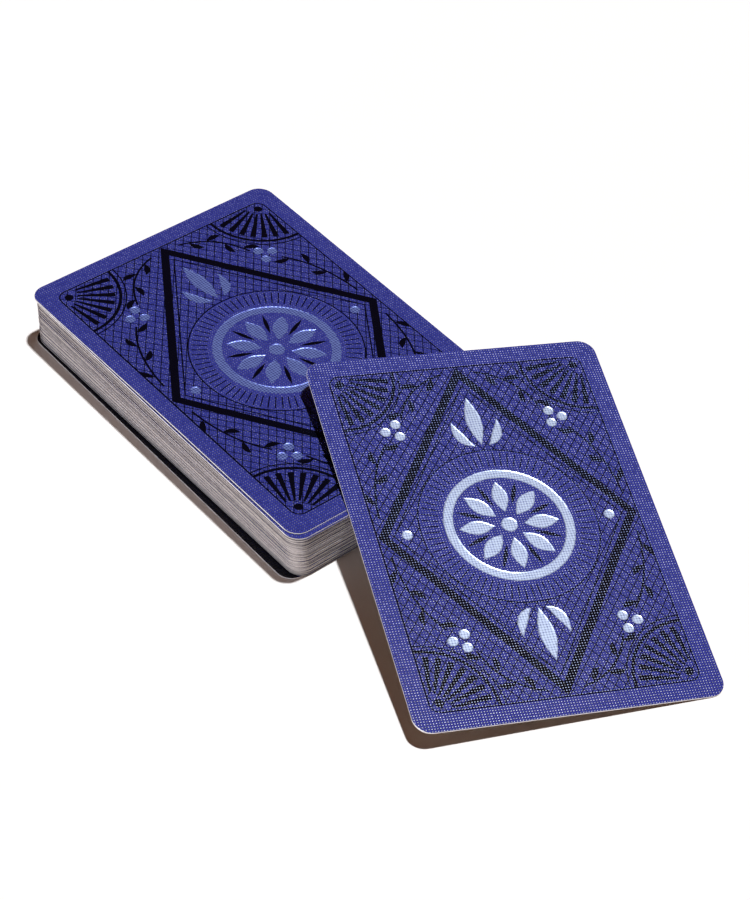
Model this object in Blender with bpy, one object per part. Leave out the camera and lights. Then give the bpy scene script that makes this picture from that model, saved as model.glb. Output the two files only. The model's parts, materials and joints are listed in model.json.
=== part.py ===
"""A pack of playing cards: a squared pile, face down, and one drawn card that leans on its near edge.

Metres, +Z up. The origin is the middle of the pile where it meets the table. +Y runs along the cards,
away from the leaning card, and +X runs across them. Every card is a plate of its own.
"""

import math

import bmesh
import bpy

# One card: poker size, thin stock
CARD_WIDTH = 0.0635
CARD_LENGTH = 0.0889
CARD_THICKNESS = 0.000225
CORNER_RADIUS = 0.0035
CORNER_STEPS = 6

# The pile, with the air that stays between two cards
PILE_CARDS = 51
AIR_GAP = 0.000015

# How squarely the pile lies: it leans and untwists a little from bottom to top, and each card wanders
# along a wave
PILE_ASIDE = 0.0002
PILE_LEAN_X = -0.0014
PILE_LEAN_Y = -0.0006
PILE_UNTWIST = math.radians(0.54)
WANDER_X = 0.00007
WANDER_Y = 0.0001
WANDER_TWIST = math.radians(0.06)
X_STEP = math.radians(137.5)
Y_STEP = math.radians(222.0)
TWIST_STEP = math.radians(77.0)

# Cards, counted from the bottom, that lie deeper at the far end than their neighbours
DEEP_CARDS = (20, 34, 37, 38)
DEEP_SHIFT_X = 0.00012
DEEP_TWIST = math.radians(-0.30)

# The top card, which lies back from the edge, and the bottom card, which sticks out on the left
TOP_SHIFT_X = -0.0002
TOP_SHIFT_Y = 0.0010
TOP_TWIST = math.radians(0.35)
BOTTOM_SHIFT_X = -0.0004
BOTTOM_SHIFT_Y = 0.0004
BOTTOM_TWIST = math.radians(-0.45)

# The leaning card: its middle lies this far right of the pile's middle, and this far down the slope
# from the pile's near edge
LEAN_ASIDE = 0.0074
LEAN_DOWN = 0.0193
LEAN_TURN = math.radians(-24.4)
LEAN_GAP = 0.00005

# Finish: sRGB colours of the printed back and of the bare stock that shows at the cards' edges
BACK_COLOUR = (0.31, 0.33, 0.60)
STOCK_COLOUR = (0.80, 0.78, 0.78)
BACK_ROUGHNESS = 0.38
STOCK_ROUGHNESS = 0.75

CARD_PITCH = CARD_THICKNESS + AIR_GAP
PILE_HEIGHT = PILE_CARDS * CARD_PITCH - AIR_GAP


def clear_scene():
    for scene_object in list(bpy.data.objects):
        bpy.data.objects.remove(scene_object, do_unlink=True)


def linear(channel):
    """An sRGB channel as the linear value that a shader takes."""
    return ((channel + 0.055) / 1.055) ** 2.4


def make_material(name, colour, roughness):
    material = bpy.data.materials.new(name)
    material.use_nodes = True
    shader = material.node_tree.nodes["Principled BSDF"]
    shader.inputs["Base Color"].default_value = (*map(linear, colour), 1.0)
    shader.inputs["Roughness"].default_value = roughness
    shader.inputs["Metallic"].default_value = 0.0
    return material


def card_outline():
    """The card's edge, anticlockwise: a rectangle with a quarter circle at each corner."""
    reach_x = CARD_WIDTH / 2 - CORNER_RADIUS
    reach_y = CARD_LENGTH / 2 - CORNER_RADIUS
    points = []
    for quarter, (side_x, side_y) in enumerate(((1, 1), (-1, 1), (-1, -1), (1, -1))):
        for step in range(CORNER_STEPS + 1):
            angle = (quarter + step / CORNER_STEPS) * math.pi / 2
            x = side_x * reach_x + CORNER_RADIUS * math.cos(angle)
            y = side_y * reach_y + CORNER_RADIUS * math.sin(angle)
            points.append((x, y))
    return points


def make_card_mesh(name, material):
    """A plate with its middle at the origin, lying flat."""
    card = bmesh.new()
    corners = [card.verts.new((x, y, -CARD_THICKNESS / 2)) for x, y in card_outline()]
    underside = card.faces.new(corners)
    raised = bmesh.ops.extrude_face_region(card, geom=[underside])["geom"]
    top_corners = [item for item in raised if isinstance(item, bmesh.types.BMVert)]
    bmesh.ops.translate(card, verts=top_corners, vec=(0, 0, CARD_THICKNESS))
    bmesh.ops.recalc_face_normals(card, faces=card.faces)
    mesh = bpy.data.meshes.new(name)
    card.to_mesh(mesh)
    card.free()
    mesh.materials.append(material)
    mesh.shade_smooth()
    mesh.set_sharp_from_angle(angle=math.radians(40))
    return mesh


def add_object(name, data):
    made = bpy.data.objects.new(name, data)
    bpy.context.scene.collection.objects.link(made)
    return made


def pile_place(index):
    """Sideways shift, lengthways shift and twist of a card in the pile, counted from the bottom."""
    if index == PILE_CARDS - 1:
        return TOP_SHIFT_X, TOP_SHIFT_Y, TOP_TWIST
    if index == 0:
        return BOTTOM_SHIFT_X, BOTTOM_SHIFT_Y, BOTTOM_TWIST
    rise = index / (PILE_CARDS - 1) - 0.5
    x = PILE_ASIDE + PILE_LEAN_X * rise + WANDER_X * math.sin(index * X_STEP)
    y = PILE_LEAN_Y * rise + WANDER_Y * math.sin(index * Y_STEP)
    twist = PILE_UNTWIST * (0.5 - rise) + WANDER_TWIST * math.sin(index * TWIST_STEP)
    if index in DEEP_CARDS:
        x += DEEP_SHIFT_X
        twist += DEEP_TWIST
    return x, y, twist


def pile_name(index):
    if index == 0:
        return "bottom_card"
    if index == PILE_CARDS - 1:
        return "top_card"
    return f"card_{index + 1:02d}"


def make_pile(stock_mesh, back_mesh):
    for index in range(PILE_CARDS):
        is_top = index == PILE_CARDS - 1
        card = add_object(pile_name(index), back_mesh if is_top else stock_mesh)
        shift_x, shift_y, twist = pile_place(index)
        card.location = (shift_x, shift_y, CARD_THICKNESS / 2 + index * CARD_PITCH)
        card.rotation_euler = (0, 0, twist)


def lean_corner():
    """From the leaning card's middle to the lowest point of its edge, across the slope and down it."""
    arm_x = CARD_WIDTH / 2 - CORNER_RADIUS
    arm_y = CARD_LENGTH / 2 - CORNER_RADIUS
    across = arm_x * math.cos(LEAN_TURN) + arm_y * math.sin(LEAN_TURN)
    down = arm_y * math.cos(LEAN_TURN) - arm_x * math.sin(LEAN_TURN) + CORNER_RADIUS
    return across, down


def make_leaning_card(back_mesh):
    """It hangs on an empty at its corner on the table, about which it turns over."""
    across, down = lean_corner()
    slope_length = LEAN_DOWN + down
    tilt = math.asin((PILE_HEIGHT + LEAN_GAP - AIR_GAP) / slope_length)
    turning_point = add_object("leaning_turn", None)
    turning_point.location = (
        LEAN_ASIDE + across,
        -CARD_LENGTH / 2 - CARD_THICKNESS / 2 * math.sin(tilt) - slope_length * math.cos(tilt),
        CARD_THICKNESS / 2 + AIR_GAP,
    )
    turning_point.rotation_euler = (tilt, 0, 0)
    card = add_object("leaning_card", back_mesh)
    card.parent = turning_point
    card.location = (-across, down, 0)
    card.rotation_euler = (0, 0, LEAN_TURN)


def main():
    clear_scene()
    stock_mesh = make_card_mesh("stock_card", make_material("card_stock", STOCK_COLOUR, STOCK_ROUGHNESS))
    back_mesh = make_card_mesh("printed_card", make_material("card_back", BACK_COLOUR, BACK_ROUGHNESS))
    make_pile(stock_mesh, back_mesh)
    make_leaning_card(back_mesh)


main()
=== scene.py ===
"""Looks of the playing card deck: the print and finish of its 52 cards, a pale table and plain light.

The scene is in metres. The print is laid out in millimetres, on a card that lies flat with its middle
at the origin.
"""

import json
import math

import bpy
import numpy as np
from mathutils import Matrix, Vector
from mathutils.geometry import delaunay_2d_cdt

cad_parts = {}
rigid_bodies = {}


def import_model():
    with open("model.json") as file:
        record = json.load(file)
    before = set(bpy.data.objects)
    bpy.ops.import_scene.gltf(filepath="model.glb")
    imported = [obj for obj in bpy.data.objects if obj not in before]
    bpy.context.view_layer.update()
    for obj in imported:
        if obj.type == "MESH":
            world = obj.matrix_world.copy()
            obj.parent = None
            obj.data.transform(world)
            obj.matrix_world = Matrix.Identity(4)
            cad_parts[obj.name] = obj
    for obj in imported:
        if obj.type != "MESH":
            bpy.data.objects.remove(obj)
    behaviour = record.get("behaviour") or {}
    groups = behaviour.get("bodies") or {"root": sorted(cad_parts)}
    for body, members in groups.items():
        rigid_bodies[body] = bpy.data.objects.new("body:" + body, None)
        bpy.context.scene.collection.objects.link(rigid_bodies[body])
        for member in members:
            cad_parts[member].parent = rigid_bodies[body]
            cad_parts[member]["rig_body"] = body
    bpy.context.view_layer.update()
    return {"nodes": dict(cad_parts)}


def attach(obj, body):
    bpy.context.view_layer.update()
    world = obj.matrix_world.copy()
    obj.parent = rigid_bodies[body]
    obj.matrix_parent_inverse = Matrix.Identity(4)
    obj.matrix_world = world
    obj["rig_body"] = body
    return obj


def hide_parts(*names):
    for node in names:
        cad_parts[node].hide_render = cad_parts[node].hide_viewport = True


MM = 0.001

# Kinds of finish that a stretch of a card can have
BORDER, TRELLIS, INK, FOIL, EDGE, PAPER, RED, BLACK, GOLD = range(9)

# Sockets of a mix node: the two values as numbers, the two values as colours, and the mixed colour
MIX_NUMBERS = slice(2, 4)
MIX_COLOURS = slice(6, 8)
MIXED_COLOUR = 2

# Angles in degrees
FULL_TURN = 360
HALF_TURN = 180
QUARTER_TURN = 90

# Card body, in millimetres: the cut rounds each rim a little, and foil is pressed in between sloping walls
CORNER_RADIUS = 3.5
CORNER_STEPS = 10
SIDE_POINTS = 9
RIM_WIDTH = 0.03
RIM_DROP = 0.03
EDGE_BANDS = 3
FOIL_DEPTH = 0.06
FOIL_SLOPE = 0.22
SHARP_ANGLE = math.radians(30)

# Filling an outline with triangles: only inside it, with corners this close taken as one, in millimetres
FILL_INSIDE = 1
SAME_CORNER = 1e-5

# Rims where the print stops short of the cut, so that white stock shows there as a painted highlight on the
# rim, in millimetres: a curled card's left edge, and the leaning card's near edge and the corner at its
# left end
HIGHLIGHT_RIM = 0.1
HIGHLIGHT_FRONT = 0.06
HIGHLIGHT_CORNER = 0.15

# Cards that curl up a little along the left edge, most in front of the middle, in millimetres
CURLS = {"top_card": 0.32, "card_50": 0.14}
CURL_REACH = 12.0
CURL_MIDDLE = -12.0
CURL_SPAN = 48.0
HINGE_STEPS = 10
HINGE_MARGIN_X = 1.0
HINGE_MARGIN_Y = 2.0

# Printed back, in millimetres: the frame and the lozenge in it
BORDER_WIDTH = 4.0
FRAME_LINE = 0.3
FRAME_RADIUS = 2.4
FRAME_STEPS = 6
LOZENGE_STROKE = 1.8
HAIRLINE = 0.3
HAIRLINE_GAP = 0.8

# The rosette in the middle, with its halo, and the foil leaves above and below it, as start, bend and end
RING_STEPS = 64
HALO_RADIUS = 18.7
RAY_COUNT = 72
RAY_WIDTH = 0.26
RAY_INNER = 14.5
RAY_OUTER = 17.9
RING_OUTER = 13.5
RING_INNER = 11.5
PETAL_COUNT = 8
PETAL_INNER = 3.1
PETAL_OUTER = 10.6
PETAL_WIDTH = 3.3
SEPAL_INNER = 5.0
SEPAL_OUTER = 11.0
SEPAL_WIDTH = 0.9
EYE_RADIUS = 1.7
BLADE_STEPS = 9
MIDDLE_LEAF = ((0, 19.9), (0, 26.0), (0, 32.2))
MIDDLE_LEAF_WIDTH = 3.3
OUTER_LEAF = ((1.5, 19.8), (4.6, 21.4), (4.9, 26.2))
OUTER_LEAF_WIDTH = 2.1

# Foil berries
SPOT_STEPS = 18
BERRY_RADIUS = 1.1
BERRY_COUNT = 3
BERRY_SPREAD = 1.75
BERRY_TURN = 236
BERRIES_X = 17.4
BERRIES_Y = 25.4
SIDE_BERRY_X = 21.4

# The fans in the corners, each with the angle at which it starts
FAN_STARTS = {(1, 1): 180, (-1, 1): 270, (-1, -1): 0, (1, -1): 90}
FAN_RAYS = 7
FAN_INNER = 4.4
FAN_OUTER = 12.4
FAN_FOOT_STEPS = 1
FAN_TIP_STEPS = 2
FAN_HUB = 1.9
FAN_HUB_RADIUS = 0.95
FAN_HUB_STEPS = 16
FAN_ARCS = ((13.2, 13.9), (14.6, 14.9))
FAN_ARC_STEPS = 14

# The sprigs beside each fan, as start, bend and end. A leaf's shape is in shares of its length
SPRIGS = (((26.0, 4.6), (25.2, 16.0), (19.6, 22.6)), ((3.6, 38.6), (12.0, 36.6), (15.2, 28.0)))
STEM_WIDTH = 0.45
STEM_STEPS = 10
LEAVES = 4
LEAF_START = 0.6
LEAF_LENGTH = 3.7
LEAF_WIDTH = 1.35
LEAF_STEPS = 6
LEAF_TIP_ALONG = 0.8
LEAF_TIP_ASIDE = 0.6
LEAF_BEND_ALONG = 0.3
LEAF_BEND_ASIDE = 0.5

# Suit marks, one unit high
HEART_STEPS = 28
HEART_SIZE = 34
HEART_RISE = 2.5
HEART_WIDTH = 16
HEART_WAVES = (13, -5, -2, -1)
PIP_STEM = ((-0.2, -0.5), (0.2, -0.5), (0.05, -0.3), (0.03, 0.1), (-0.03, 0.1), (-0.05, -0.3))
SPADE_RISE = 0.06
SPADE_SCALE = 0.94
CLUB_LEAVES = ((0, 0.28), (-0.25, -0.1), (0.25, -0.1))
CLUB_RADIUS = 0.215
CLUB_STEPS = 18
DIAMOND_X = 0.38
DIAMOND_Y = 0.5

# Printed face, in millimetres
PIP_SIZE = 11.5
ONE_PIP_SIZE = 22.0
SMALL_PIP_SIZE = 5.0
PIP_COLUMN = 11.5
PIP_ROW = 27.0
INDEX_X = 26.3
INDEX_Y = 36.2
INDEX_PIP_DROP = 7.6
NUMBER_HEIGHT = 6.4
NUMBER_STROKE = 1.0
NUMBER_DROP = 3.0

# Digits, one unit high before they are narrowed
DIGIT_WIDTH = 0.6
DIGIT_ADVANCE = 0.84
DIGIT_NARROWING = 0.75
SHORT_CURVE = 8
CURVE = 10
LONG_CURVE = 12

# Court cards, in millimetres. A crown's shape is in shares of its width and height
LAST_NUMBER = 10
COURT_PANEL_X = 19.5
COURT_PANEL_Y = 34.5
COURT_LINE = 0.4
PANEL_RADIUS = 1.5
PANEL_STEPS = 4
COURT_PIP_SIZE = 13.0
COURT_DISC = 0.66
DISC_STEPS = 40
CROWN_WIDTH = 20.0
CROWN_HEIGHT = 11.0
CROWN_BASE = 18.0
CROWN_FOOT = 0.42
CROWN_FLARE = 1.1
CROWN_DIP = 0.4
CROWN_POINTS_LESS = 8
ROBE_WIDTH = 17.0
NECK_WIDTH = 7.0
ROBE_FOLDS = 8
ROBE = ((-ROBE_WIDTH, 0), (ROBE_WIDTH, 0), (NECK_WIDTH, CROWN_BASE), (-NECK_WIDTH, CROWN_BASE))

# Which card is which
SUITS = ("spade", "heart", "club", "diamond")
RED_SUITS = ("heart", "diamond")
RANKS = 13
RANK_STEP = 5
FIRST_RANK = 9
FIRST_SUIT = 3
SHOWN_BACKS = ("top_card", "leaning_card")

# Where a card's sides lie on the flat map that its looks are baked to, from 0 to 1
BAKE_BACK_X = 0.25
BAKE_FACE_X = 0.75
BAKE_REACH_X = 0.235
BAKE_MIDDLE_Y = 0.53
BAKE_REACH_Y = 0.455
BAKE_EDGE_LEFT = 0.01
BAKE_EDGE_LENGTH = 0.98
BAKE_EDGE_TOP = 0.055
BAKE_EDGE_STEP = 0.015

# Colours as they look, sRGB from 0 to 255
GROUND_COLOUR = (52, 58, 147)
INK_COLOUR = (4, 6, 22)
# Foil: a bright copy painted as lit and reflecting, and a dull copy painted as shaded
FOIL_LIT_COLOUR = (201, 219, 255)
FOIL_SHADED_COLOUR = (115, 137, 216)
STOCK_LIGHT = (252, 252, 254)
STOCK_DARK = (150, 149, 154)
FACE_COLOUR = (240, 238, 233)
RED_COLOUR = (176, 26, 38)
BLACK_COLOUR = (18, 18, 22)
GOLD_COLOUR = (214, 146, 38)
# Painted highlight dots on the linen's domes, on the ground and on ink
GROUND_PAINTED_GLINT = (190, 195, 255)
INK_PAINTED_GLINT = (152, 174, 242)
TABLE_COLOUR = (250, 250, 250)
TABLE_BOUNCE = (179, 153, 134)
PURE_BLACK = (0, 0, 0)

# Linen finish, rows of small domes: in millimetres, or in shares of a dome's width
LINEN_PITCH = 0.58
LINEN_STEEPNESS = 0.17
LINEN_UNEVENNESS = 0.15
LINEN_SWAY = 0.25
DOME_MIDDLE = 0.5
GROOVE_INNER = 0.1
GROOVE_OUTER = 0.3
# Painted shade in the grooves between the domes
GROOVE_SHADE = 0.7
# Painted highlight dots near each dome's crown: where they sit, how large they are, and how bright at
# random
CROWN_SHIFT = 0.44
CROWN_INNER = 0.1
CROWN_OUTER = 0.28
CROWN_LOW = 0.15
CROWN_HIGH = 1.15
INK_FALL_OFF = 2.0

# Painted highlight: how bright a card's foil and inked linen are painted, and how strongly the painted
# highlight
# dots on its linen show: the leaning card's more than the pile's, and most at its far end
LIT_LEANING = 1.0
LIT_FLAT = 0.1
PAINTED_GLINT_FLAT = 0.4
PAINTED_GLINT_NEAR = 0.58
PAINTED_GLINT_FAR = 1.0

# Print and foil. Roughness runs from the first value to the second
BACK_ROUGHNESS = (0.175, 0.2)
PAPER_ROUGHNESS = (0.36, 0.44)
FACE_ROUGHNESS = (0.34, 0.42)
FOIL_ROUGHNESS = (0.31, 0.35)
COAT_LEVEL = 0.2
PRINT_UNEVENNESS = 0.16
FOIL_UNEVENNESS = 0.12
FOIL_METAL = 0.5
FOIL_LINEN = 0.3
# Share of the foil's grooves that shows bare ground, on the dull, shaded painted copy and on the lit one
FOIL_GROOVE_DULL = 2.3
FOIL_GROOVE_BRIGHT = 1.1

# Trellis: the size of a mesh in millimetres, and shares of it
MESH_MIDDLE = 0.5
TRELLIS_WIDTH = 2.2
TRELLIS_HEIGHT = 2.7
TRELLIS_LINE = 0.11

# Cut edges, with streaks along them, and painted shade: under some edges and towards the foot of the pile;
# and a painted shadow on the bottom card's left border
EDGE_ROUGHNESS = (0.7, 0.9)
CUT_DEPTH = 0.01
TONE_SEED = 14
STREAK_SHARE = 0.45
STREAK_LOW = 0.3
STREAK_HIGH = 0.7
STREAK_DETAIL = 4.0
STREAK_ROUGHNESS = 0.7
STREAK_SPACING = 40.0
GAP_SHADED_EDGES = {"card_49": 0.75, "card_46": 0.35, "card_43": 0.3}
FOOT_CARDS = 9
FOOT_SHADE = 0.7
PAINTED_SHADOW_START = 0.2
PAINTED_SHADOW_END = 0.4
PAINTED_SHADOW_DEPTH = 0.9

# Noise: how fine it is, in waves on a metre, and how detailed
SWAY_SCALE = 250.0
ROUGHNESS_SCALE = 400.0
STREAK_SCALE = 500.0
FOIL_SCALE = 700.0
LINEN_SCALE = 900.0
FOIL_BARE_SCALE = 1100.0
PRINT_SCALE = 1500.0
CUT_SCALE = 6000.0
PLAIN_DETAIL = 2.0
FINE_DETAIL = 3.0

# Camera: it looks at a point on the table, from this side, this high and this far, tilted a little
TARGET = Vector((5.89, -25.02, 0.0)) * MM
AZIMUTH = math.radians(-44.61)
ELEVATION = math.radians(44.22)
ROLL = math.radians(6.23)
DISTANCE = 534.6 * MM
FOCAL_PIXELS = 2570.0
IMAGE_HEIGHT = 900
SENSOR_MM = 36.0
CLIP_START = 10.0 * MM

# Light: a key, nearly overhead, a low soft fill from the left, and a dim warm room with a pale horizon
KEY_TOWARDS = Vector((0.15, -0.05, 1.0))
KEY_STRENGTH = 3.3
KEY_ANGLE = math.radians(3.0)
KEY_COLOUR = (1.0, 1.0, 1.0)
FILL_TOWARDS = Vector((-1.0, -0.32, 0.03))
FILL_STRENGTH = 1.4
FILL_ANGLE = math.radians(3.0)
FILL_COLOUR = (0.85, 0.87, 0.94)
ROOM_COLOUR = (0.055, 0.017, 0.002)
HORIZON_COLOUR = (1.0, 1.0, 1.0)
HORIZON_TOP = 0.1
TABLE_DROP = 0.02 * MM
TABLE_REACH = 4.0


def linear(colour):
    """An sRGB colour from 0 to 255 as the linear values that a shader takes."""
    channels = []
    for channel in colour:
        share = channel / 255
        channels.append(share / 12.92 if share < 0.04045 else ((share + 0.055) / 1.055) ** 2.4)
    return (*channels, 1.0)


# Flat outlines, as lists of points in millimetres


def arc(centre, reach, start, end, steps):
    """Points along an arc, with angles in degrees. Reach is the radius across and the radius along."""
    points = []
    for step in range(steps + 1):
        angle = math.radians(start + (end - start) * step / steps)
        points.append((centre[0] + reach[0] * math.cos(angle), centre[1] + reach[1] * math.sin(angle)))
    return points


def circle(centre, radius, steps):
    return arc(centre, (radius, radius), 0, FULL_TURN, steps)[:-1]


def rounded_box(reach_x, reach_y, radius, steps, side_points=0):
    """A box with round corners, and this many more points along each straight side."""
    corners = []
    for quarter, (side_x, side_y) in enumerate(((1, 1), (-1, 1), (-1, -1), (1, -1))):
        middle = (side_x * (reach_x - radius), side_y * (reach_y - radius))
        start = quarter * QUARTER_TURN
        corners.append(arc(middle, (radius, radius), start, start + QUARTER_TURN, steps))
    points = []
    for corner, after in zip(corners, corners[1:] + corners[:1]):
        points += corner
        (start_x, start_y), (end_x, end_y) = corner[-1], after[0]
        for step in range(1, side_points + 1):
            share = step / (side_points + 1)
            points.append((start_x + (end_x - start_x) * share, start_y + (end_y - start_y) * share))
    return points


def lozenge(reach_x, reach_y):
    return [(reach_x, 0), (0, reach_y), (-reach_x, 0), (0, -reach_y)]


def along_bend(start, bend, end, share):
    """A point on the bend from start to end, and the direction to its left."""
    start, bend, end = Vector(start), Vector(bend), Vector(end)
    point = start * (1 - share) ** 2 + bend * 2 * share * (1 - share) + end * share ** 2
    way = (bend - start) * (1 - share) + (end - bend) * share
    return point, Vector((-way.y, way.x)).normalized()


def blade(start, bend, end, width, shrink=0.0, steps=BLADE_STEPS):
    """A leaf that is pointed at both ends, narrowed by shrink all round."""
    trim = math.asin(2 * shrink / width) / math.pi
    left, right = [], []
    for step in range(steps + 1):
        share = trim + (1 - 2 * trim) * step / steps
        point, aside = along_bend(start, bend, end, share)
        half = max(0.0, width / 2 * math.sin(math.pi * share) - shrink)
        left.append(point + aside * half)
        right.append(point - aside * half)
    return [tuple(p) for p in right[:-1] + [left[-1]] + left[-2:0:-1]]


def stroke(points, width):
    """A line of even width along the points."""
    points = [Vector(p) for p in points]
    left, right = [], []
    for index, point in enumerate(points):
        way = points[min(index + 1, len(points) - 1)] - points[max(index - 1, 0)]
        aside = Vector((-way.y, way.x)).normalized() * width / 2
        left.append(point + aside)
        right.append(point - aside)
    return [tuple(p) for p in right + left[::-1]]


def moved(points, shift=(0, 0), turn=0.0, scale=1.0):
    """Points scaled, turned by an angle in degrees and then shifted."""
    c, s = math.cos(math.radians(turn)) * scale, math.sin(math.radians(turn)) * scale
    return [(shift[0] + c * x - s * y, shift[1] + s * x + c * y) for x, y in points]


def mirrored(points, side_x, side_y):
    flipped = [(x * side_x, y * side_y) for x, y in points]
    return flipped if side_x * side_y > 0 else flipped[::-1]


def anticlockwise(points):
    turns = sum(a[0] * b[1] - b[0] * a[1] for a, b in zip(points, points[1:] + points[:1]))
    return points if turns > 0 else points[::-1]


class Sheet:
    """Shapes laid over each other on one side of a card. The last one laid is the one that shows."""

    def __init__(self, outline, paint):
        self.shapes = [(outline, paint, 0.0)]

    def lay(self, points, paint, level=0.0):
        self.shapes.append((anticlockwise(points), paint, level))

    def lay_foil(self, outer, inner):
        """Foil pressed into the card, from its outline down to the flat part inside it."""
        self.lay(outer, FOIL)
        self.lay(inner, FOIL, -FOIL_DEPTH)

    def lay_hinge(self, side, half_width, half_length):
        """Corners along the line where a card starts to curl. They leave the print as it is."""
        outer, inner = side * (half_width - HINGE_MARGIN_X), side * (half_width - CURL_REACH)
        reach = half_length - HINGE_MARGIN_Y
        rows = [reach * (2 * step / HINGE_STEPS - 1) for step in range(HINGE_STEPS + 1)]
        self.lay([(outer, y) for y in rows] + [(inner, y) for y in rows[::-1]], self.shapes[0][1])

    def triangles(self):
        """The corners with their levels, the triangles, their paint, and the outline's corners."""
        points, faces, levels = [], [], []
        for outline, _, level in self.shapes:
            faces.append(list(range(len(points), len(points) + len(outline))))
            points += [Vector(p) for p in outline]
            levels += [level] * len(outline)
        made = delaunay_2d_cdt(points, [], faces, FILL_INSIDE, SAME_CORNER, True)
        corners, _, triangles, came_from, _, covered_by = made
        heights = [min((levels[i] for i in sources), default=0.0) for sources in came_from]
        places = np.array([(*corner, height) for corner, height in zip(corners, heights)])
        paints = [self.shapes[max(cover)][1] for cover in covered_by]
        at = {source: index for index, sources in enumerate(came_from) for source in sources}
        rim = [at[source] for source in range(len(self.shapes[0][0]))]
        return places, np.array(triangles), paints, rim


# The printed back


def lay_foil_spot(sheet, centre, radius):
    sheet.lay_foil(circle(centre, radius, SPOT_STEPS), circle(centre, radius - FOIL_SLOPE, SPOT_STEPS))


def lay_foil_blade(sheet, start, bend, end, width):
    sheet.lay_foil(blade(start, bend, end, width), blade(start, bend, end, width, FOIL_SLOPE))


def lay_lozenge(sheet, reach_x, reach_y):
    """A heavy lozenge that touches the frame on four sides, with a hairline inside it."""
    depth = reach_x * reach_y / math.hypot(reach_x, reach_y)
    hairline = LOZENGE_STROKE + HAIRLINE_GAP
    for index, inset in enumerate((0.0, LOZENGE_STROKE, hairline, hairline + HAIRLINE)):
        share = 1 - inset / depth
        sheet.lay(lozenge(reach_x * share, reach_y * share), TRELLIS if index % 2 else INK)


def lay_rosette(sheet):
    """Foil petals in a foil ring, with a halo of fine rays round it."""
    middle = (0, 0)
    sheet.lay(circle(middle, HALO_RADIUS, RING_STEPS), INK)
    sheet.lay(circle(middle, HALO_RADIUS - HAIRLINE, RING_STEPS), BORDER)
    for ray in range(RAY_COUNT):
        bar = stroke([(RAY_INNER, 0), (RAY_OUTER, 0)], RAY_WIDTH)
        sheet.lay(moved(bar, turn=FULL_TURN * ray / RAY_COUNT), INK)
    rim = circle(middle, RING_OUTER, RING_STEPS)
    sheet.lay_foil(rim, circle(middle, RING_OUTER - FOIL_SLOPE, RING_STEPS))
    sheet.lay(circle(middle, RING_INNER + FOIL_SLOPE, RING_STEPS), FOIL, -FOIL_DEPTH)
    sheet.lay(circle(middle, RING_INNER, RING_STEPS), BORDER)
    petal_line = [(0, PETAL_INNER), (0, (PETAL_INNER + PETAL_OUTER) / 2), (0, PETAL_OUTER)]
    sepal_line = [(0, SEPAL_INNER), (0, (SEPAL_INNER + SEPAL_OUTER) / 2), (0, SEPAL_OUTER)]
    for petal in range(PETAL_COUNT):
        turn = FULL_TURN * petal / PETAL_COUNT
        lay_foil_blade(sheet, *moved(petal_line, turn=turn), PETAL_WIDTH)
        between = turn + HALF_TURN / PETAL_COUNT
        sheet.lay(blade(*moved(sepal_line, turn=between), SEPAL_WIDTH), INK)
    lay_foil_spot(sheet, middle, EYE_RADIUS)


def lay_palmette(sheet, side):
    """Three foil leaves between the halo and the lozenge's tip, above the rosette or below it."""
    lay_foil_blade(sheet, *[(x, side * y) for x, y in MIDDLE_LEAF], MIDDLE_LEAF_WIDTH)
    for aside in (1, -1):
        lay_foil_blade(sheet, *[(aside * x, side * y) for x, y in OUTER_LEAF], OUTER_LEAF_WIDTH)


def lay_fan(sheet, corner, side_x, side_y):
    """A quarter sunburst in a corner of the frame."""
    start = FAN_STARTS[side_x, side_y]
    end = start + QUARTER_TURN
    hub = (corner[0] - side_x * FAN_HUB, corner[1] - side_y * FAN_HUB)
    sheet.lay(circle(hub, FAN_HUB_RADIUS, FAN_HUB_STEPS), INK)
    step = QUARTER_TURN / (2 * FAN_RAYS + 1)
    for ray in range(FAN_RAYS):
        first = start + step * (2 * ray + 1)
        inner = arc(corner, (FAN_INNER, FAN_INNER), first, first + step, FAN_FOOT_STEPS)
        outer = arc(corner, (FAN_OUTER, FAN_OUTER), first + step, first, FAN_TIP_STEPS)
        sheet.lay(inner + outer, INK)
    for near, far in FAN_ARCS:
        inner = arc(corner, (near, near), start, end, FAN_ARC_STEPS)
        outer = arc(corner, (far, far), end, start, FAN_ARC_STEPS)
        sheet.lay(inner + outer, INK)


def lay_sprig(sheet, start, bend, end, side_x, side_y):
    """A stem with leaves on alternate sides."""
    shares = [step / STEM_STEPS for step in range(STEM_STEPS + 1)]
    line = [tuple(along_bend(start, bend, end, share)[0]) for share in shares]
    sheet.lay(mirrored(stroke(line, STEM_WIDTH), side_x, side_y), INK)
    for leaf in range(LEAVES):
        root, aside = along_bend(start, bend, end, (leaf + LEAF_START) / LEAVES)
        forward = Vector((aside.y, -aside.x))
        out = aside * (1 if leaf % 2 else -1)
        tip = root + (forward * LEAF_TIP_ALONG + out * LEAF_TIP_ASIDE) * LEAF_LENGTH
        middle = root + (forward * LEAF_BEND_ALONG + out * LEAF_BEND_ASIDE) * LEAF_LENGTH
        shape = blade(root, middle, tip, LEAF_WIDTH, steps=LEAF_STEPS)
        sheet.lay(mirrored(shape, side_x, side_y), INK)


def lay_spandrel(sheet, reach_x, reach_y, side_x, side_y):
    """What fills a corner outside the lozenge: a fan, two sprigs and three foil berries where they meet."""
    lay_fan(sheet, (side_x * reach_x, side_y * reach_y), side_x, side_y)
    for sprig in SPRIGS:
        lay_sprig(sheet, *sprig, side_x, side_y)
    for berry in range(BERRY_COUNT):
        angle = math.radians(BERRY_TURN + FULL_TURN / BERRY_COUNT * berry)
        x = BERRIES_X + BERRY_SPREAD * math.cos(angle)
        y = BERRIES_Y + BERRY_SPREAD * math.sin(angle)
        lay_foil_spot(sheet, (side_x * x, side_y * y), BERRY_RADIUS)


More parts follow.
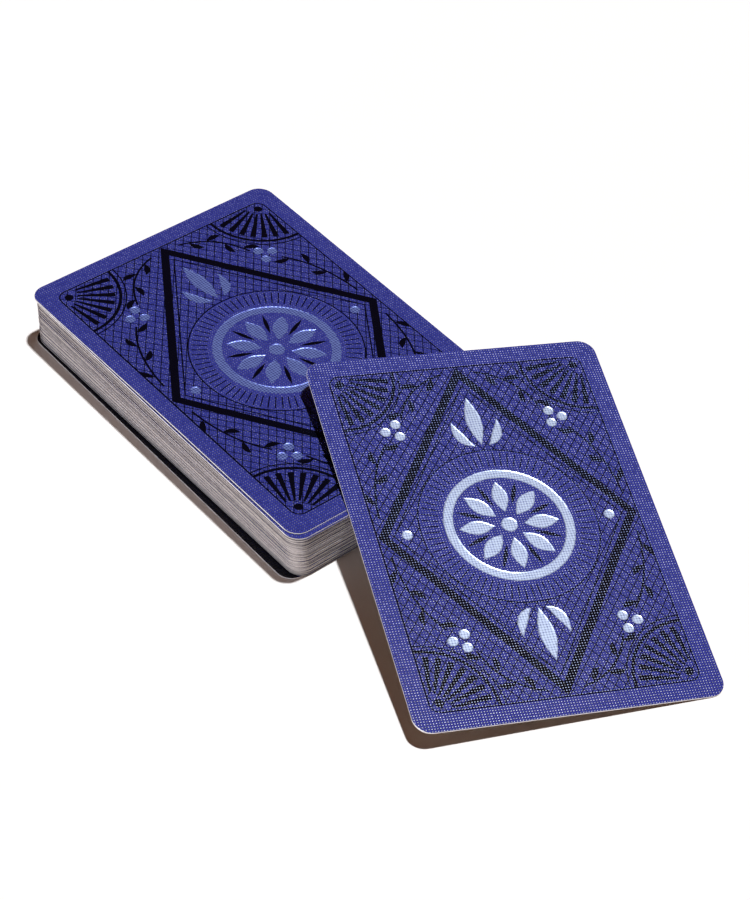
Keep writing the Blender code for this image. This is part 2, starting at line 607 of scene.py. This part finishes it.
def back_print(outline, half_width, half_length, curled):
    sheet = Sheet(outline, BORDER)
    if curled:
        sheet.lay_hinge(-1, half_width, half_length)
    reach_x, reach_y = half_width - BORDER_WIDTH, half_length - BORDER_WIDTH
    sheet.lay(rounded_box(reach_x, reach_y, FRAME_RADIUS, FRAME_STEPS), INK)
    reach_x, reach_y = reach_x - FRAME_LINE, reach_y - FRAME_LINE
    sheet.lay(rounded_box(reach_x, reach_y, FRAME_RADIUS - FRAME_LINE, FRAME_STEPS), TRELLIS)
    lay_lozenge(sheet, reach_x, reach_y)
    lay_rosette(sheet)
    for side in (1, -1):
        lay_palmette(sheet, side)
        lay_foil_spot(sheet, (side * SIDE_BERRY_X, 0), BERRY_RADIUS)
        for other in (1, -1):
            lay_spandrel(sheet, reach_x, reach_y, side, other)
    return sheet


# The printed face


def heart():
    points = []
    for step in range(HEART_STEPS):
        t = 2 * math.pi * (step + 0.5) / HEART_STEPS
        x = HEART_WIDTH * math.sin(t) ** 3
        y = sum(wave * math.cos(times * t) for times, wave in enumerate(HEART_WAVES, 1))
        points.append((-x / HEART_SIZE, (y + HEART_RISE) / HEART_SIZE))
    return points


def suit_shapes(suit):
    """A suit's mark, one unit high, its middle at the origin."""
    if suit == "heart":
        return [heart()]
    if suit == "spade":
        return [moved(heart(), (0, SPADE_RISE), HALF_TURN, SPADE_SCALE), list(PIP_STEM)]
    if suit == "club":
        return [circle(middle, CLUB_RADIUS, CLUB_STEPS) for middle in CLUB_LEAVES] + [list(PIP_STEM)]
    return [lozenge(DIAMOND_X, DIAMOND_Y)]


def suit_paint(suit):
    return RED if suit in RED_SUITS else BLACK


def lay_pip(sheet, suit, place, size, upside_down=False):
    turn = HALF_TURN if upside_down else 0
    for shape in suit_shapes(suit):
        sheet.lay(moved(shape, place, turn, size), suit_paint(suit))


def digit_lines(digit):
    """The pen strokes of a digit, one unit high, from the left edge of its base line."""
    if digit == 0:
        ring = (0.3, 0.5)
        return [arc(ring, ring, 90, 270, CURVE), arc(ring, ring, -90, 90, CURVE)]
    if digit == 1:
        return [[(0.1, 0.78), (0.34, 1.0)], [(0.34, 1.0), (0.34, 0)]]
    if digit == 2:
        bow = arc((0.3, 0.7), (0.29, 0.3), 170, -35, CURVE)
        return [bow + [(0.02, 0.02)], [(0.0, 0.0), (0.62, 0.0)]]
    if digit == 3:
        upper = arc((0.28, 0.76), (0.27, 0.24), 160, -90, CURVE)
        return [upper, arc((0.28, 0.26), (0.31, 0.26), 90, -160, CURVE)]
    if digit == 4:
        return [[(0.46, 1.0), (0.0, 0.3)], [(0.0, 0.3), (0.64, 0.3)], [(0.46, 1.0), (0.46, 0.0)]]
    if digit == 5:
        bow = arc((0.28, 0.32), (0.31, 0.32), 135, -150, LONG_CURVE)
        return [[(0.56, 1.0), (0.1, 1.0)], [(0.1, 1.0), (0.06, 0.54)], bow]
    if digit == 6:
        bowl = (0.3, 0.3)
        stem = arc((0.6, 0.3), (0.6, 0.72), 180, 105, SHORT_CURVE)
        return [arc(bowl, bowl, 90, 270, SHORT_CURVE), arc(bowl, bowl, -90, 90, SHORT_CURVE), stem]
    if digit == 7:
        return [[(0.0, 1.0), (0.6, 1.0)], [(0.6, 1.0), (0.22, 0.0)]]
    if digit == 8:
        bowls = (((0.3, 0.77), (0.25, 0.24)), ((0.3, 0.27), (0.3, 0.27)))
        starts = (90, 270)
        return [arc(*bowl, start, start + HALF_TURN, SHORT_CURVE) for bowl in bowls for start in starts]
    return [[(DIGIT_WIDTH - x, 1 - y) for x, y in line] for line in digit_lines(6)]


def lay_index(sheet, rank, suit, upside_down):
    """The rank's number, and the suit's mark under it, in a corner."""
    digits = [int(mark) for mark in str(rank)]
    width = DIGIT_WIDTH + DIGIT_ADVANCE * (len(digits) - 1)
    unit = NUMBER_HEIGHT * DIGIT_NARROWING
    foot = INDEX_Y - NUMBER_DROP
    turn = HALF_TURN if upside_down else 0
    for place, digit in enumerate(digits):
        left = place * DIGIT_ADVANCE - width / 2
        for line in digit_lines(digit):
            pen = [(-INDEX_X + (left + x) * unit, foot + y * NUMBER_HEIGHT) for x, y in line]
            sheet.lay(moved(stroke(pen, NUMBER_STROKE), turn=turn), suit_paint(suit))
    pip = moved([(-INDEX_X, INDEX_Y - INDEX_PIP_DROP)], turn=turn)[0]
    lay_pip(sheet, suit, pip, SMALL_PIP_SIZE, upside_down)


def pip_places(rank):
    """Where the pips of a number card lie: columns and rows from -1 to 1."""
    sides = (1, -1)
    if rank <= 3:
        return [(0, 1), (0, -1)][: rank - rank % 2] + [(0, 0)] * (rank % 2)
    corners = [(x, y) for x in sides for y in sides]
    if rank <= 5:
        return corners + [(0, 0)] * (rank - 4)
    if rank <= 8:
        return corners + [(x, 0) for x in sides] + [(0, 0.5), (0, -0.5)][: rank - 6]
    thirds = [(x, y / 3) for x in sides for y in sides]
    return corners + thirds + ([(0, 0)] if rank == 9 else [(0, 2 / 3), (0, -2 / 3)])


def crown(points):
    """A crown's outline, one unit wide and high, with its base on the origin."""
    outline = [(-CROWN_FOOT, 0.0), (CROWN_FOOT, 0.0)]
    for point in range(points):
        right = 0.5 - point / points
        left = 0.5 - (point + 1) / points
        outline.append(((right + left) / 2 * CROWN_FLARE, 1.0))
        if point < points - 1:
            outline.append((left, CROWN_DIP))
    return outline


def lay_court(sheet, rank, suit):
    """A crowned robe in a gold panel, the same both ways up, with a large pip in the middle."""
    for inset, fill in ((0, BLACK), (COURT_LINE, GOLD)):
        panel = rounded_box(COURT_PANEL_X - inset, COURT_PANEL_Y - inset, PANEL_RADIUS, PANEL_STEPS)
        sheet.lay(panel, fill)
    crown_line = crown(rank - CROWN_POINTS_LESS)
    for turn in (0, HALF_TURN):
        sheet.lay(moved(ROBE, turn=turn), RED)
        for fold in range(1, ROBE_FOLDS):
            foot = ROBE_WIDTH * (2 * fold / ROBE_FOLDS - 1)
            line = [(foot, 0), (foot * NECK_WIDTH / ROBE_WIDTH, CROWN_BASE)]
            sheet.lay(moved(stroke(line, COURT_LINE), turn=turn), BLACK)
        shape = [(x * CROWN_WIDTH, CROWN_BASE + y * CROWN_HEIGHT) for x, y in crown_line]
        sheet.lay(moved(shape, turn=turn), BLACK)
    sheet.lay(circle((0, 0), COURT_PIP_SIZE * COURT_DISC, DISC_STEPS), PAPER)
    lay_pip(sheet, suit, (0, 0), COURT_PIP_SIZE)


def face_print(outline, half_width, half_length, curled, rank, suit):
    sheet = Sheet(outline, PAPER)
    if curled:
        sheet.lay_hinge(1, half_width, half_length)
    for upside_down in (False, True):
        lay_index(sheet, rank, suit, upside_down)
    if rank > LAST_NUMBER:
        lay_court(sheet, rank, suit)
        return sheet
    size = ONE_PIP_SIZE if rank == 1 else PIP_SIZE
    for column, row in pip_places(rank):
        lay_pip(sheet, suit, (column * PIP_COLUMN, row * PIP_ROW), size, row < 0)
    return sheet


# The cards


def card_frame(node):
    """A card's own axes, with X across it, Y along it and Z out of its back, and its size."""
    corners = np.unique([tuple(v.co) for v in node.data.vertices], axis=0)
    middle = corners.mean(axis=0)
    along, _, out = np.linalg.svd(corners - middle)[2]
    along = along * np.sign(along[1])
    out = out * np.sign(out[2])
    axes = np.stack([np.cross(along, out), along, out], axis=1)
    size = np.ptp((corners - middle) @ axes, axis=0)
    place = Matrix.Identity(4)
    for row in range(3):
        place[row] = (*axes[row], middle[row])
    return place, size


def join_sides(back, face, outline, thickness):
    """One closed card: its printed sides, and between them an upper slope, a wall and a lower slope."""
    half = thickness / 2
    back_places, back_triangles, back_paints, back_rim = back
    face_places, face_triangles, face_paints, face_rim = face
    top = back_places + (0, 0, half)
    under = face_places * (-1, 1, -1) - (0, 0, half)
    walls = [[(x, y, level) for x, y in outline] for level in (half - RIM_DROP, RIM_DROP - half)]
    places = np.concatenate([top, under, *walls])
    start = len(top) + len(under)
    count = len(outline)
    rings = [back_rim, range(start, start + count), range(start + count, start + 2 * count)]
    rings.append([len(top) + corner for corner in face_rim[::-1]])
    faces = [tuple(t) for t in back_triangles] + [tuple(t) for t in face_triangles + len(top)]
    for upper, lower in zip(rings, rings[1:]):
        for k in range(count):
            after = (k + 1) % count
            faces.append((upper[k], lower[k], lower[after], upper[after]))
    paints = list(back_paints) + list(face_paints) + [EDGE] * (EDGE_BANDS * count)
    return places, faces, paints


def curl_up(places, half_width, height):
    """Lift the card's left edge."""
    reach = np.clip(1 - (half_width + places[:, 0]) / CURL_REACH, 0, 1)
    share = np.clip(1 - ((places[:, 1] - CURL_MIDDLE) / CURL_SPAN) ** 2, 0, 1)
    places[:, 2] += height * share * reach


def left_border(places, half_width):
    """From 1 at the card's left edge to 0 where its border ends."""
    return np.clip(1 - (half_width + places[:, 0]) / BORDER_WIDTH, 0, 1)


def bake_places(places, faces, backs, sides, count, half_width, half_length):
    """Where each corner of each face lies on a flat map: back left, face right, edge along the foot."""
    spots = []
    for index, face in enumerate(faces):
        if index < sides:
            middle, way = (BAKE_BACK_X, 1) if index < backs else (BAKE_FACE_X, -1)
            for corner in face:
                x, y, _ = places[corner]
                spot_x = middle + way * BAKE_REACH_X * x / half_width
                spots.append((spot_x, BAKE_MIDDLE_Y + BAKE_REACH_Y * y / half_length))
            continue
        ring, k = divmod(index - sides, count)
        for step, row in ((k, ring), (k, ring + 1), (k + 1, ring + 1), (k + 1, ring)):
            spot_x = BAKE_EDGE_LEFT + BAKE_EDGE_LENGTH * step / count
            spots.append((spot_x, BAKE_EDGE_TOP - BAKE_EDGE_STEP * row))
    return spots


def add_card(node, finishes, back, face, outline, size, traits):
    """A card that stands for a node of the frame and moves with it."""
    half_width, half_length = size[0] / 2, size[1] / 2
    places, faces, paints = join_sides(back, face, outline, size[2])
    sides = len(faces) - EDGE_BANDS * len(outline)
    spots = bake_places(places, faces, len(back[1]), sides, len(outline), half_width, half_length)
    curl_up(places, half_width, CURLS.get(node.name, 0.0))
    mesh = bpy.data.meshes.new(f"{node.name}_printed")
    mesh.from_pydata((places * MM).tolist(), [], faces)
    for finish in finishes:
        mesh.materials.append(finish)
    mesh.polygons.foreach_set("material_index", paints)
    mesh.set_sharp_from_angle(angle=SHARP_ANGLE)
    mesh.polygons.foreach_set("use_smooth", [paint == EDGE for paint in paints])
    mesh.uv_layers.new(name="OFBake").data.foreach_set("uv", np.ravel(spots))
    values = {trait: np.full(len(places), value) for trait, value in traits.items()}
    # Painted shadow on the bottom card's left border, where it sticks out from under the pile
    values["grime"] = left_border(places, half_width) * (node.name == "bottom_card")
    # Painted highlight dots: the same on all the pile's cards, and on the leaning card stronger towards its
    # far end
    values["weave"] = np.full(len(places), PAINTED_GLINT_FLAT)
    if node.name == "leaning_card":
        values["weave"] = np.interp(places[:, 1], (-half_length, half_length), (PAINTED_GLINT_NEAR, PAINTED_GLINT_FAR))
    for trait, value in values.items():
        mesh.attributes.new(trait, "FLOAT", "POINT").data.foreach_set("value", value)
    mesh.update()
    card = bpy.data.objects.new(mesh.name, mesh)
    bpy.context.scene.collection.objects.link(card)
    card.matrix_world = card_frame(node)[0]
    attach(card, node["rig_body"])
    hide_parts(node.name)


def worn_left(points, half_width):
    """An outline drawn in along the left edge, where white stock shows as a painted highlight on the rim.
    """
    return [(max(x, HIGHLIGHT_RIM - half_width), y) for x, y in points]


def worn_near(points, half_width, half_length):
    """An outline drawn in along the near edge, and more at the left end of it, where white stock shows as a
    painted highlight on the rim.
    """
    middle = Vector((CORNER_RADIUS - half_width, CORNER_RADIUS - half_length))
    drawn_in = []
    for point in points:
        off = Vector(point) - middle
        if off.x < 0 and off.y < 0:
            share = 2 * off.x * off.y / off.length_squared
            off *= 1 - HIGHLIGHT_CORNER * share / off.length
        x, y = middle + off
        drawn_in.append((x, max(y, HIGHLIGHT_FRONT - half_length)))
    return drawn_in


def make_cards(frame, finishes):
    nodes = frame["nodes"]
    size = card_frame(nodes["top_card"])[1] / MM
    half_width, half_length = size[0] / 2, size[1] / 2
    halves = (half_width, half_length)
    outline, printed = [
        rounded_box(*[half - inset for half in halves], CORNER_RADIUS - inset, CORNER_STEPS, SIDE_POINTS)
        for inset in (0.0, RIM_WIDTH)
    ]
    seen_from_below = mirrored(printed, -1, 1)
    plain_back = back_print(printed, *halves, False).triangles()
    curled_back = back_print(worn_left(printed, half_width), *halves, True).triangles()
    leaning_back = back_print(worn_near(printed, *halves), *halves, False).triangles()
    backs = {"leaning_card": leaning_back, **dict.fromkeys(CURLS, curled_back)}
    tones = np.random.default_rng(TONE_SEED).random(len(nodes))
    for index, name in enumerate(sorted(nodes)):
        rank = (FIRST_RANK + index * RANK_STEP) % RANKS + 1
        suit = SUITS[(FIRST_SUIT + index) % len(SUITS)]
        face = face_print(seen_from_below, *halves, name in CURLS, rank, suit).triangles()
        # Painted shade: the lowest cards' edges darker towards the foot of the pile
        foot_shade = FOOT_SHADE * (1 - index / FOOT_CARDS) if 0 < index < FOOT_CARDS else 0.0
        traits = {
            # The top and leaning cards' edges take the lightest stock, a painted highlight; the others a
            # random tone
            "tone": 1.0 if name in SHOWN_BACKS else tones[index],
            "lit": LIT_LEANING if name == "leaning_card" else LIT_FLAT,
            "shade": GAP_SHADED_EDGES.get(name, foot_shade),
        }
        add_card(nodes[name], finishes, backs.get(name, plain_back), face, outline, size, traits)


# Finishes


def add_node(tree, kind, **settings):
    made = tree.nodes.new(kind)
    for name, value in settings.items():
        setattr(made, name, value)
    return made


def maths(tree, operation, *values):
    made = add_node(tree, "ShaderNodeMath", operation=operation)
    for socket, value in zip(made.inputs, values):
        if isinstance(value, bpy.types.NodeSocket):
            tree.links.new(value, socket)
        else:
            socket.default_value = value
    return made.outputs[0]


def mix_colours(tree, share, first, second):
    made = add_node(tree, "ShaderNodeMix", data_type="RGBA")
    tree.links.new(share, made.inputs[0])
    for socket, colour in zip(made.inputs[MIX_COLOURS], (first, second)):
        if isinstance(colour, bpy.types.NodeSocket):
            tree.links.new(colour, socket)
        else:
            socket.default_value = colour
    return made.outputs[MIXED_COLOUR]


def spread(tree, value, low, high):
    """A value from 0 to 1, as one from low to high."""
    made = add_node(tree, "ShaderNodeMapRange")
    tree.links.new(value, made.inputs[0])
    made.inputs[3].default_value = low
    made.inputs[4].default_value = high
    return made.outputs[0]


def stepped(tree, value, start, end, low, high):
    """Low before the start, high after the end, and a smooth step between them."""
    made = add_node(tree, "ShaderNodeMapRange", interpolation_type="SMOOTHSTEP")
    tree.links.new(value, made.inputs[0])
    for socket, bound in zip(made.inputs[1:5], (start, end, low, high)):
        socket.default_value = bound
    return made.outputs[0]


def noise(tree, place, scale, detail=PLAIN_DETAIL):
    made = add_node(tree, "ShaderNodeTexNoise")
    made.inputs["Scale"].default_value = scale
    made.inputs["Detail"].default_value = detail
    tree.links.new(place, made.inputs["Vector"])
    return made.outputs["Fac"]


def new_finish(name):
    """A new material, with its tree, its shader and the place on the card that it colours."""
    material = bpy.data.materials.new(name)
    material.use_nodes = True
    tree = material.node_tree
    shader = tree.nodes["Principled BSDF"]
    place = add_node(tree, "ShaderNodeTexCoord").outputs["Object"]
    return material, tree, shader, place


def across_and_along(tree, place):
    split = add_node(tree, "ShaderNodeSeparateXYZ")
    tree.links.new(place, split.inputs[0])
    return split.outputs[0], split.outputs[1]


def linen_ways(tree, place):
    """Across and along the linen, whose rows sway a little."""
    sway = add_node(tree, "ShaderNodeTexNoise")
    sway.inputs["Scale"].default_value = SWAY_SCALE
    tree.links.new(place, sway.inputs["Vector"])
    swayed = add_node(tree, "ShaderNodeVectorMath", operation="MULTIPLY_ADD")
    tree.links.new(sway.outputs["Color"], swayed.inputs[0])
    swayed.inputs[1].default_value = [LINEN_SWAY * MM] * 3
    tree.links.new(place, swayed.inputs[2])
    return across_and_along(tree, swayed.outputs[0])


def linen_fall(tree, place):
    """How far each point lies below the top of its dome, in the linen pressed into both sides of a card."""
    squares = []
    for way in linen_ways(tree, place):
        cell = maths(tree, "FRACT", maths(tree, "DIVIDE", way, LINEN_PITCH * MM))
        squares.append(maths(tree, "POWER", maths(tree, "SUBTRACT", cell, DOME_MIDDLE), 2.0))
    return maths(tree, "ADD", *squares)


def trait(tree, name):
    """A value that a card carries on its corners."""
    return add_node(tree, "ShaderNodeAttribute", attribute_name=name).outputs["Fac"]


def linen_crowns(tree, place, fall_off):
    """Painted highlights where the domes would catch the light, some more than others, and more where a
    card leans towards it.
    """
    squares = []
    cell = add_node(tree, "ShaderNodeCombineXYZ")
    for way, socket in zip(linen_ways(tree, place), cell.inputs):
        step = maths(tree, "ADD", maths(tree, "DIVIDE", way, LINEN_PITCH * MM), CROWN_SHIFT)
        tree.links.new(maths(tree, "FLOOR", step), socket)
        off = maths(tree, "SUBTRACT", maths(tree, "FRACT", step), DOME_MIDDLE)
        squares.append(maths(tree, "POWER", off, 2.0))
    away = maths(tree, "SQRT", maths(tree, "ADD", *squares))
    chance = add_node(tree, "ShaderNodeTexWhiteNoise", noise_dimensions="2D")
    tree.links.new(cell.outputs[0], chance.inputs["Vector"])
    glint = spread(tree, chance.outputs["Value"], CROWN_LOW, CROWN_HIGH)
    shine = trait(tree, "weave")
    if fall_off:
        shine = maths(tree, "MULTIPLY", shine, maths(tree, "POWER", trait(tree, "lit"), fall_off))
    crown = stepped(tree, away, CROWN_INNER, CROWN_OUTER, 1.0, 0.0)
    return maths(tree, "MULTIPLY", maths(tree, "MULTIPLY", crown, glint), shine)


def emboss_linen(tree, shader, place, fall, share=1.0):
    uneven = spread(tree, noise(tree, place, LINEN_SCALE), 1 - LINEN_UNEVENNESS, 1 + LINEN_UNEVENNESS)
    bump = add_node(tree, "ShaderNodeBump", invert=True)
    bump.inputs["Distance"].default_value = share * LINEN_STEEPNESS * LINEN_PITCH * MM
    tree.links.new(maths(tree, "MULTIPLY", fall, uneven), bump.inputs["Height"])
    tree.links.new(bump.outputs[0], shader.inputs["Normal"])


def vary_roughness(tree, shader, place, roughness):
    uneven = spread(tree, noise(tree, place, ROUGHNESS_SCALE), *roughness)
    tree.links.new(uneven, shader.inputs["Roughness"])


def shades(colour, spread_by):
    """A darker and a lighter shade of a linear colour."""
    dark = (*(channel * (1 - spread_by) for channel in colour[:3]), 1.0)
    light = (*(min(1.0, channel * (1 + spread_by)) for channel in colour[:3]), 1.0)
    return dark, light


def linen_groove(tree, fall, share):
    return stepped(tree, fall, GROOVE_INNER, GROOVE_OUTER, 0.0, share)


def printed_finish(name, colour, roughness, painted_glint_colour=None, fall_off=0.0):
    """Ink on coated stock, a little uneven as print is."""
    material, tree, shader, place = new_finish(name)
    fall = linen_fall(tree, place)
    uneven = noise(tree, place, PRINT_SCALE, FINE_DETAIL)
    tone = mix_colours(tree, uneven, *shades(linear(colour), PRINT_UNEVENNESS))
    # Painted shade in the linen's grooves
    tone = mix_colours(tree, linen_groove(tree, fall, GROOVE_SHADE), tone, linear(PURE_BLACK))
    # Painted highlight dots on the linen's domes
    if painted_glint_colour:
        tone = mix_colours(tree, linen_crowns(tree, place, fall_off), tone, linear(painted_glint_colour))
    # Painted shadow: the bottom card's left border darkened to near black
    grime = stepped(tree, trait(tree, "grime"), PAINTED_SHADOW_START, PAINTED_SHADOW_END, 0.0, PAINTED_SHADOW_DEPTH)
    tone = mix_colours(tree, grime, tone, linear(PURE_BLACK))
    tree.links.new(tone, shader.inputs["Base Color"])
    shader.inputs["Specular IOR Level"].default_value = COAT_LEVEL
    vary_roughness(tree, shader, place, roughness)
    emboss_linen(tree, shader, place, fall)
    return material, tree, shader, place, tone


def trellis_finish():
    """The back's ground with a fine trellis of dark lines."""
    ground = printed_finish("back_trellis", GROUND_COLOUR, BACK_ROUGHNESS, GROUND_PAINTED_GLINT)
    material, tree, shader, place, tone = ground
    across, along = across_and_along(tree, place)
    rise = maths(tree, "DIVIDE", along, TRELLIS_HEIGHT * MM)
    lines = []
    for side in (1, -1):
        step = maths(tree, "MULTIPLY_ADD", across, side / (TRELLIS_WIDTH * MM), rise)
        aside = maths(tree, "SUBTRACT", maths(tree, "FRACT", step), MESH_MIDDLE)
        off = maths(tree, "ABSOLUTE", aside)
        lines.append(maths(tree, "GREATER_THAN", off, MESH_MIDDLE - TRELLIS_LINE / 2))
    line = maths(tree, "MAXIMUM", *lines)
    tree.links.new(mix_colours(tree, line, tone, linear(INK_COLOUR)), shader.inputs["Base Color"])
    return material


def foil_finish():
    """Pressed metal foil, roughened by the linen under it, painted as a bright copy on the leaning card,
    for the light it reflects, and a mostly dull, shaded copy on the rest.
    """
    material, tree, shader, place = new_finish("back_foil")
    fall = linen_fall(tree, place)
    uneven = noise(tree, place, FOIL_SCALE, FINE_DETAIL)
    # Painted light: a dull, shaded copy and a bright, lit copy of the foil, mixed by the card's lit trait;
    # the dull copy also shows more bare ground in the grooves
    shaded_copy, lit_copy = [
        mix_colours(tree, uneven, *shades(linear(colour), FOIL_UNEVENNESS))
        for colour in (FOIL_SHADED_COLOUR, FOIL_LIT_COLOUR)
    ]
    lit = trait(tree, "lit")
    tone = mix_colours(tree, lit, shaded_copy, lit_copy)
    bare_share = spread(tree, lit, FOIL_GROOVE_DULL, FOIL_GROOVE_BRIGHT)
    bare_share = maths(tree, "MULTIPLY", bare_share, noise(tree, place, FOIL_BARE_SCALE))
    bare = maths(tree, "MULTIPLY", linen_groove(tree, fall, 1.0), bare_share)
    tone = mix_colours(tree, bare, tone, linear(GROUND_COLOUR))
    tree.links.new(tone, shader.inputs["Base Color"])
    shader.inputs["Metallic"].default_value = FOIL_METAL
    vary_roughness(tree, shader, place, FOIL_ROUGHNESS)
    emboss_linen(tree, shader, place, fall, FOIL_LINEN)
    return material


def edge_finish():
    """Cut card stock: each card has its own tone, and streaks run along the cut."""
    material, tree, shader, place = new_finish("card_edge")
    tone = trait(tree, "tone")
    streak = add_node(tree, "ShaderNodeTexNoise", noise_dimensions="4D")
    streak.inputs["Scale"].default_value = STREAK_SCALE
    streak.inputs["Detail"].default_value = STREAK_DETAIL
    streak.inputs["Roughness"].default_value = STREAK_ROUGHNESS
    tree.links.new(place, streak.inputs["Vector"])
    tree.links.new(maths(tree, "MULTIPLY", tone, STREAK_SPACING), streak.inputs["W"])
    streaks = stepped(tree, streak.outputs["Fac"], STREAK_LOW, STREAK_HIGH, 0.0, 1.0)
    light = add_node(tree, "ShaderNodeMix")
    light.inputs[0].default_value = STREAK_SHARE
    for socket, value in zip(light.inputs[MIX_NUMBERS], (tone, streaks)):
        tree.links.new(value, socket)
    colour = mix_colours(tree, light.outputs[0], linear(STOCK_DARK), linear(STOCK_LIGHT))
    # Painted shade on cut edges: in the gaps under some cards and towards the pile's foot
    colour = mix_colours(tree, trait(tree, "shade"), colour, linear(PURE_BLACK))
    tree.links.new(colour, shader.inputs["Base Color"])
    vary_roughness(tree, shader, place, EDGE_ROUGHNESS)
    bump = add_node(tree, "ShaderNodeBump")
    bump.inputs["Distance"].default_value = CUT_DEPTH * MM
    tree.links.new(noise(tree, place, CUT_SCALE, FINE_DETAIL), bump.inputs["Height"])
    tree.links.new(bump.outputs[0], shader.inputs["Normal"])
    return material


def make_finishes():
    """A finish for each kind, in the order of the kinds."""
    return [
        printed_finish("back_ground", GROUND_COLOUR, BACK_ROUGHNESS, GROUND_PAINTED_GLINT)[0],
        trellis_finish(),
        printed_finish("back_ink", INK_COLOUR, BACK_ROUGHNESS, INK_PAINTED_GLINT, INK_FALL_OFF)[0],
        foil_finish(),
        edge_finish(),
        printed_finish("face_paper", FACE_COLOUR, PAPER_ROUGHNESS)[0],
        printed_finish("face_red", RED_COLOUR, FACE_ROUGHNESS)[0],
        printed_finish("face_black", BLACK_COLOUR, FACE_ROUGHNESS)[0],
        printed_finish("face_gold", GOLD_COLOUR, FACE_ROUGHNESS)[0],
    ]


# Stage, light and camera


def add_table():
    """A plain pale table top, far larger than the deck."""
    mesh = bpy.data.meshes.new("table_top")
    sides = ((-1, -1), (1, -1), (1, 1), (-1, 1))
    corners = [(x * TABLE_REACH, y * TABLE_REACH, -TABLE_DROP) for x, y in sides]
    mesh.from_pydata(corners, [], [range(len(corners))])
    material, tree, shader, _ = new_finish("pale_table")
    path = add_node(tree, "ShaderNodeLightPath").outputs
    seen = maths(tree, "MAXIMUM", path["Is Camera Ray"], path["Is Glossy Ray"])
    seen = maths(tree, "MAXIMUM", seen, path["Is Transmission Ray"])
    colour = mix_colours(tree, seen, linear(TABLE_BOUNCE), linear(TABLE_COLOUR))
    tree.links.new(colour, shader.inputs["Base Color"])
    shader.inputs["Roughness"].default_value = 1.0
    shader.inputs["Specular IOR Level"].default_value = 0.0
    mesh.materials.append(material)
    table = bpy.data.objects.new("table_top", mesh)
    bpy.context.scene.collection.objects.link(table)


def add_sun(name, towards, strength, angle, colour):
    lamp = bpy.data.lights.new(name, "SUN")
    lamp.energy = strength
    lamp.angle = angle
    lamp.color = colour
    sun = bpy.data.objects.new(name, lamp)
    sun.rotation_mode = "QUATERNION"
    sun.rotation_quaternion = towards.to_track_quat("Z", "Y")
    bpy.context.scene.collection.objects.link(sun)


def add_room():
    """A dim warm room, pale just above the table's far edge."""
    world = bpy.data.worlds.new("room")
    bpy.context.scene.world = world
    world.use_nodes = True
    tree = world.node_tree
    way = add_node(tree, "ShaderNodeTexCoord").outputs["Generated"]
    split = add_node(tree, "ShaderNodeSeparateXYZ")
    tree.links.new(way, split.inputs[0])
    rise = stepped(tree, split.outputs[2], 0.0, HORIZON_TOP, 0.0, 1.0)
    colour = mix_colours(tree, rise, (*HORIZON_COLOUR, 1.0), (*ROOM_COLOUR, 1.0))
    tree.links.new(colour, tree.nodes["Background"].inputs["Color"])


def add_camera():
    level = math.cos(ELEVATION)
    back = Vector((math.sin(AZIMUTH) * level, -math.cos(AZIMUTH) * level, math.sin(ELEVATION)))
    right = Vector((0, 0, 1)).cross(back).normalized()
    up = back.cross(right)
    tilted_right = right * math.cos(ROLL) + up * math.sin(ROLL)
    tilted_up = up * math.cos(ROLL) - right * math.sin(ROLL)
    place = Matrix((tilted_right, tilted_up, back)).transposed().to_4x4()
    place.translation = TARGET + back * DISTANCE
    lens = bpy.data.cameras.new("camera")
    lens.sensor_fit = "VERTICAL"
    lens.sensor_height = SENSOR_MM
    lens.lens = FOCAL_PIXELS * SENSOR_MM / IMAGE_HEIGHT
    lens.clip_start = CLIP_START
    camera = bpy.data.objects.new("camera", lens)
    camera.matrix_world = place
    bpy.context.scene.collection.objects.link(camera)
    bpy.context.scene.camera = camera


def main():
    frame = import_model()
    bpy.context.scene.view_settings.view_transform = "Standard"
    make_cards(frame, make_finishes())
    add_table()
    add_sun("key", KEY_TOWARDS, KEY_STRENGTH, KEY_ANGLE, KEY_COLOUR)
    add_sun("fill", FILL_TOWARDS, FILL_STRENGTH, FILL_ANGLE, FILL_COLOUR)
    add_room()
    add_camera()


main()
